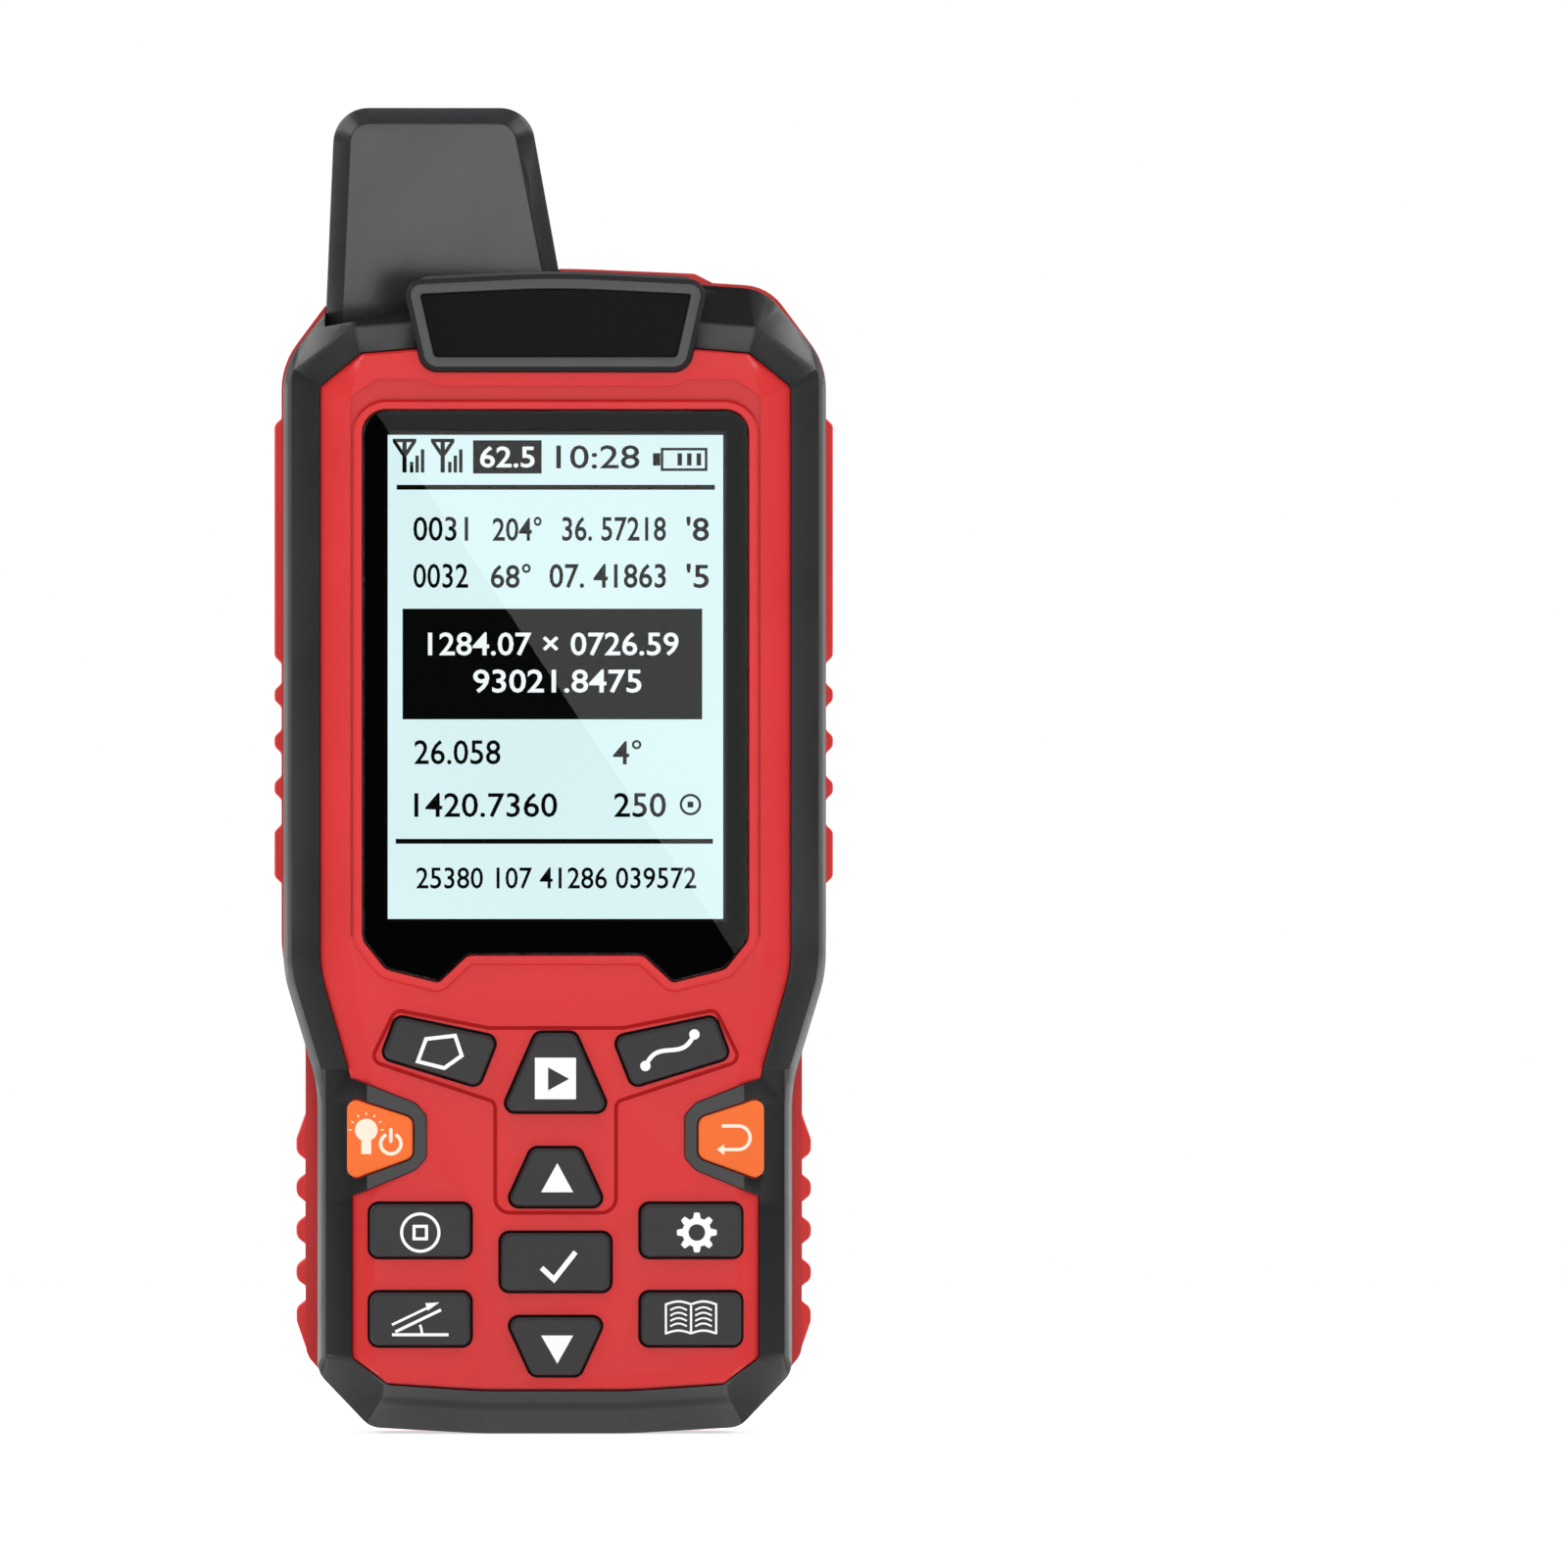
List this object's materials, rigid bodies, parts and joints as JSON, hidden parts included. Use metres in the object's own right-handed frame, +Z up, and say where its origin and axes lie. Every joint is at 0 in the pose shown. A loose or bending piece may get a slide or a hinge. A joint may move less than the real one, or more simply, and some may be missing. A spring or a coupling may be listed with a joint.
{
  "type": "handheld area meter",
  "caption": "Handheld satellite land area meter: waisted two-part case in a bumper frame, display, keypad, stub antenna, sliding battery door, covered charging port.",
  "frame": {"origin": "middle of the bounding box's foot, under the end that the meter stands on", "axes": "+X to the user's right, -Y out of the display, +Z up towards the antenna"},
  "size_m": [0.0676, 0.034, 0.16],
  "materials": {
    "red_shell": "satin moulded plastic",
    "frame_grey": "fine grained soft-touch plastic",
    "red_grip": "soft-touch rubber",
    "black_rubber": "matt rubber",
    "hood_grey": "fine grained plastic",
    "gloss_black": "polished",
    "display_glass": "polished, tinted",
    "black_tape": "matt",
    "lcd_glass": "clear",
    "white_plastic": "matt",
    "black_plastic": "matt",
    "board_green": "lacquered board",
    "plain_steel": "plain",
    "antenna_grey": "fine grained plastic",
    "patch_ceramic": "ceramic",
    "contact_gold": "plated",
    "black_cable": "smooth jacket",
    "battery_wrap": "shrink wrap",
    "foam_grey": "soft pad",
    "key_grey": "fine grained plastic",
    "key_orange": "satin plastic"
  },
  "bodies": {
    "case": {"front_housing": "red_shell", "frame_bumper": "frame_grey", "rear_housing": "red_shell", "case_gasket": "black_rubber", "side_grip_right": "red_grip", "side_grip_left": "red_grip", "lower_grip_right": "red_grip", "lower_grip_left": "red_grip", "hood_bezel": "hood_grey", "hood_plate": "gloss_black", "display_window": "display_glass", "window_tape": "black_tape", "lcd_panel": "lcd_glass", "lcd_backlight": "white_plastic", "lcd_tray": "black_plastic", "main_board": "board_green", "keypad_board": "board_green", "board_spacers": "white_plastic", "board_link": "black_plastic", "dome_switches": "plain_steel", "keypad_membrane": "black_rubber", "gps_module": "plain_steel", "processor_shield": "plain_steel", "board_chips": "black_plastic", "buzzer": "black_plastic", "coin_cell": "plain_steel", "antenna_front_shell": "antenna_grey", "antenna_rear_shell": "antenna_grey", "antenna_board": "board_green", "patch_antenna": "patch_ceramic", "antenna_plug": "contact_gold", "module_plug": "contact_gold", "antenna_cable": "black_cable", "battery_pack": "battery_wrap", "battery_contacts": "contact_gold", "battery_pad": "foam_grey", "usb_socket": "plain_steel", "case_screws": "plain_steel", "board_screws": "plain_steel"},
    "area_key": {"area_key": "key_grey"},
    "path_key": {"path_key": "key_grey"},
    "start_key": {"start_key": "key_grey"},
    "up_key": {"up_key": "key_grey"},
    "ok_key": {"ok_key": "key_grey"},
    "down_key": {"down_key": "key_grey"},
    "price_key": {"price_key": "key_grey"},
    "settings_key": {"settings_key": "key_grey"},
    "slope_key": {"slope_key": "key_grey"},
    "records_key": {"records_key": "key_grey"},
    "power_key": {"power_key": "key_orange"},
    "back_key": {"back_key": "key_orange"},
    "battery_door": {"battery_door": "red_shell"},
    "port_cover": {"port_cover": "black_rubber"}
  },
  "joints": [
    {"name": "area_key_press", "type": "slide", "parent": "case", "child": "area_key", "axis": [0, 1, 0], "range_m": [0, 0.0008], "stiffness_N_per_m": 2000},
    {"name": "path_key_press", "type": "slide", "parent": "case", "child": "path_key", "axis": [0, 1, 0], "range_m": [0, 0.0008], "stiffness_N_per_m": 2000},
    {"name": "start_key_press", "type": "slide", "parent": "case", "child": "start_key", "axis": [0, 1, 0], "range_m": [0, 0.0008], "stiffness_N_per_m": 2000},
    {"name": "up_key_press", "type": "slide", "parent": "case", "child": "up_key", "axis": [0, 1, 0], "range_m": [0, 0.0008], "stiffness_N_per_m": 2000},
    {"name": "ok_key_press", "type": "slide", "parent": "case", "child": "ok_key", "axis": [0, 1, 0], "range_m": [0, 0.0008], "stiffness_N_per_m": 2000},
    {"name": "down_key_press", "type": "slide", "parent": "case", "child": "down_key", "axis": [0, 1, 0], "range_m": [0, 0.0008], "stiffness_N_per_m": 2000},
    {"name": "price_key_press", "type": "slide", "parent": "case", "child": "price_key", "axis": [0, 1, 0], "range_m": [0, 0.0008], "stiffness_N_per_m": 2000},
    {"name": "settings_key_press", "type": "slide", "parent": "case", "child": "settings_key", "axis": [0, 1, 0], "range_m": [0, 0.0008], "stiffness_N_per_m": 2000},
    {"name": "slope_key_press", "type": "slide", "parent": "case", "child": "slope_key", "axis": [0, 1, 0], "range_m": [0, 0.0008], "stiffness_N_per_m": 2000},
    {"name": "records_key_press", "type": "slide", "parent": "case", "child": "records_key", "axis": [0, 1, 0], "range_m": [0, 0.0008], "stiffness_N_per_m": 2000},
    {"name": "power_key_press", "type": "slide", "parent": "case", "child": "power_key", "axis": [0, 1, 0], "range_m": [0, 0.0008], "stiffness_N_per_m": 2000},
    {"name": "back_key_press", "type": "slide", "parent": "case", "child": "back_key", "axis": [0, 1, 0], "range_m": [0, 0.0008], "stiffness_N_per_m": 2000},
    {"name": "battery_door_slide", "type": "slide", "parent": "case", "child": "battery_door", "axis": [0, 0, -1], "range_m": [0, 0.08]},
    {"name": "port_cover_hinge", "type": "hinge", "parent": "case", "child": "port_cover", "pos_m": [0, -0.0021, 0.00025], "axis": [1, 0, 0], "range_deg": [0, 100]}
  ]
}
